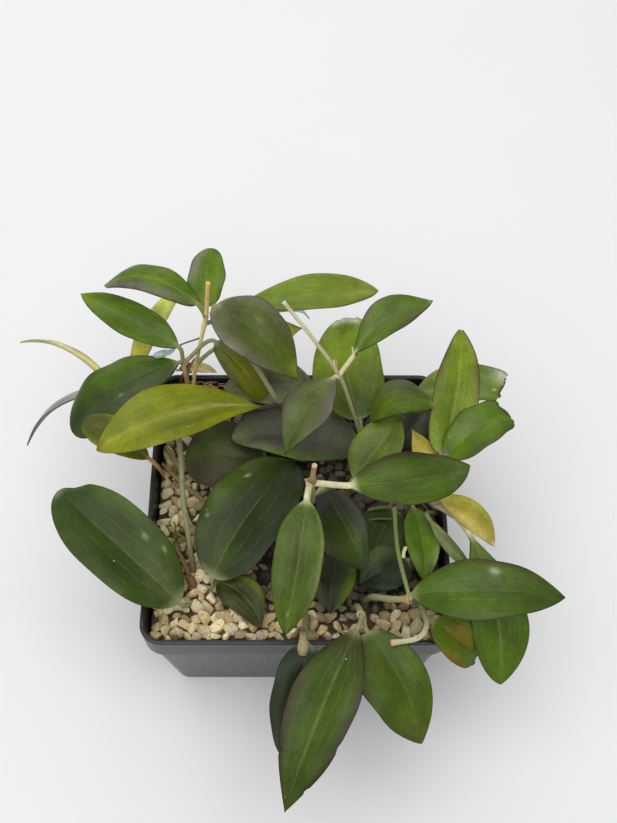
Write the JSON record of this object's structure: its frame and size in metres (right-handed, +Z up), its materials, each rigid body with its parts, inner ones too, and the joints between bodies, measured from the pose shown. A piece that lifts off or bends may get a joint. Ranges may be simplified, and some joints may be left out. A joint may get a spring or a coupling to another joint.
{
  "type": "potted hoya plant",
  "caption": "Leafy hoya shoots with pointed satin leaves, rooted in pumice in a square tapered nursery pot.",
  "frame": {"origin": "centre of the pot's underside", "axes": "+Z up through the pot, -Y the front of the pot, +X to the right seen from the front"},
  "size_m": [0.2762, 0.2724, 0.1622],
  "materials": {
    "pot_plastic": "satin black",
    "pumice": "rough tan gravel",
    "stem": "pale satin",
    "leaf_green": "waxy satin green",
    "leaf_dark": "waxy satin dark green",
    "leaf_olive": "waxy satin yellow green"
  },
  "bodies": {
    "root": {"pot": "pot_plastic", "pumice_fill": "pumice", "stem_back_left": "stem", "stem_left": "stem", "stem_back": "stem", "stem_centre": "stem", "stem_middle": "stem", "stem_front_right": "stem", "stem_right_edge": "stem", "stem_front": "stem", "stem_right": "stem", "stem_front_2": "stem", "stem_front_corner": "stem", "leaf_back_left_1": "leaf_green", "leaf_back_left_2": "leaf_green", "leaf_back_left_3": "leaf_green", "leaf_back_left_4": "leaf_green", "leaf_back_3": "leaf_olive", "leaf_left_1": "leaf_olive", "leaf_left_2": "leaf_olive", "leaf_left_3": "leaf_dark", "leaf_left_4": "leaf_olive", "leaf_back_left_5": "leaf_dark", "leaf_back_1": "leaf_green", "leaf_back_2": "leaf_green", "leaf_back_left_8": "leaf_green", "leaf_back_left_6": "leaf_olive", "leaf_back_left_7": "leaf_olive", "leaf_centre_1": "leaf_green", "leaf_centre_2": "leaf_dark", "leaf_centre_3": "leaf_green", "leaf_centre_4": "leaf_dark", "leaf_low_1": "leaf_dark", "leaf_low_2": "leaf_dark", "leaf_front_left_1": "leaf_green", "leaf_front_left_2": "leaf_green", "leaf_front_left_3": "leaf_green", "leaf_middle_1": "leaf_green", "leaf_middle_2": "leaf_green", "leaf_middle_3": "leaf_dark", "leaf_low_3": "leaf_dark", "leaf_low_4": "leaf_dark", "leaf_low_5": "leaf_dark", "leaf_right_1": "leaf_green", "leaf_middle_4": "leaf_green", "leaf_right_2": "leaf_green", "leaf_right_4": "leaf_green", "leaf_right_3": "leaf_green", "leaf_low_6": "leaf_dark", "leaf_right_edge_1": "leaf_olive", "leaf_right_edge_2": "leaf_olive", "leaf_right_edge_3": "leaf_green", "leaf_front_right_1": "leaf_green", "leaf_front_right_2": "leaf_green", "leaf_front_right_3": "leaf_green", "leaf_front_1": "leaf_dark", "leaf_front_2": "leaf_green", "leaf_front_3": "leaf_green", "leaf_front_right_4": "leaf_green"}
  },
  "joints": []
}
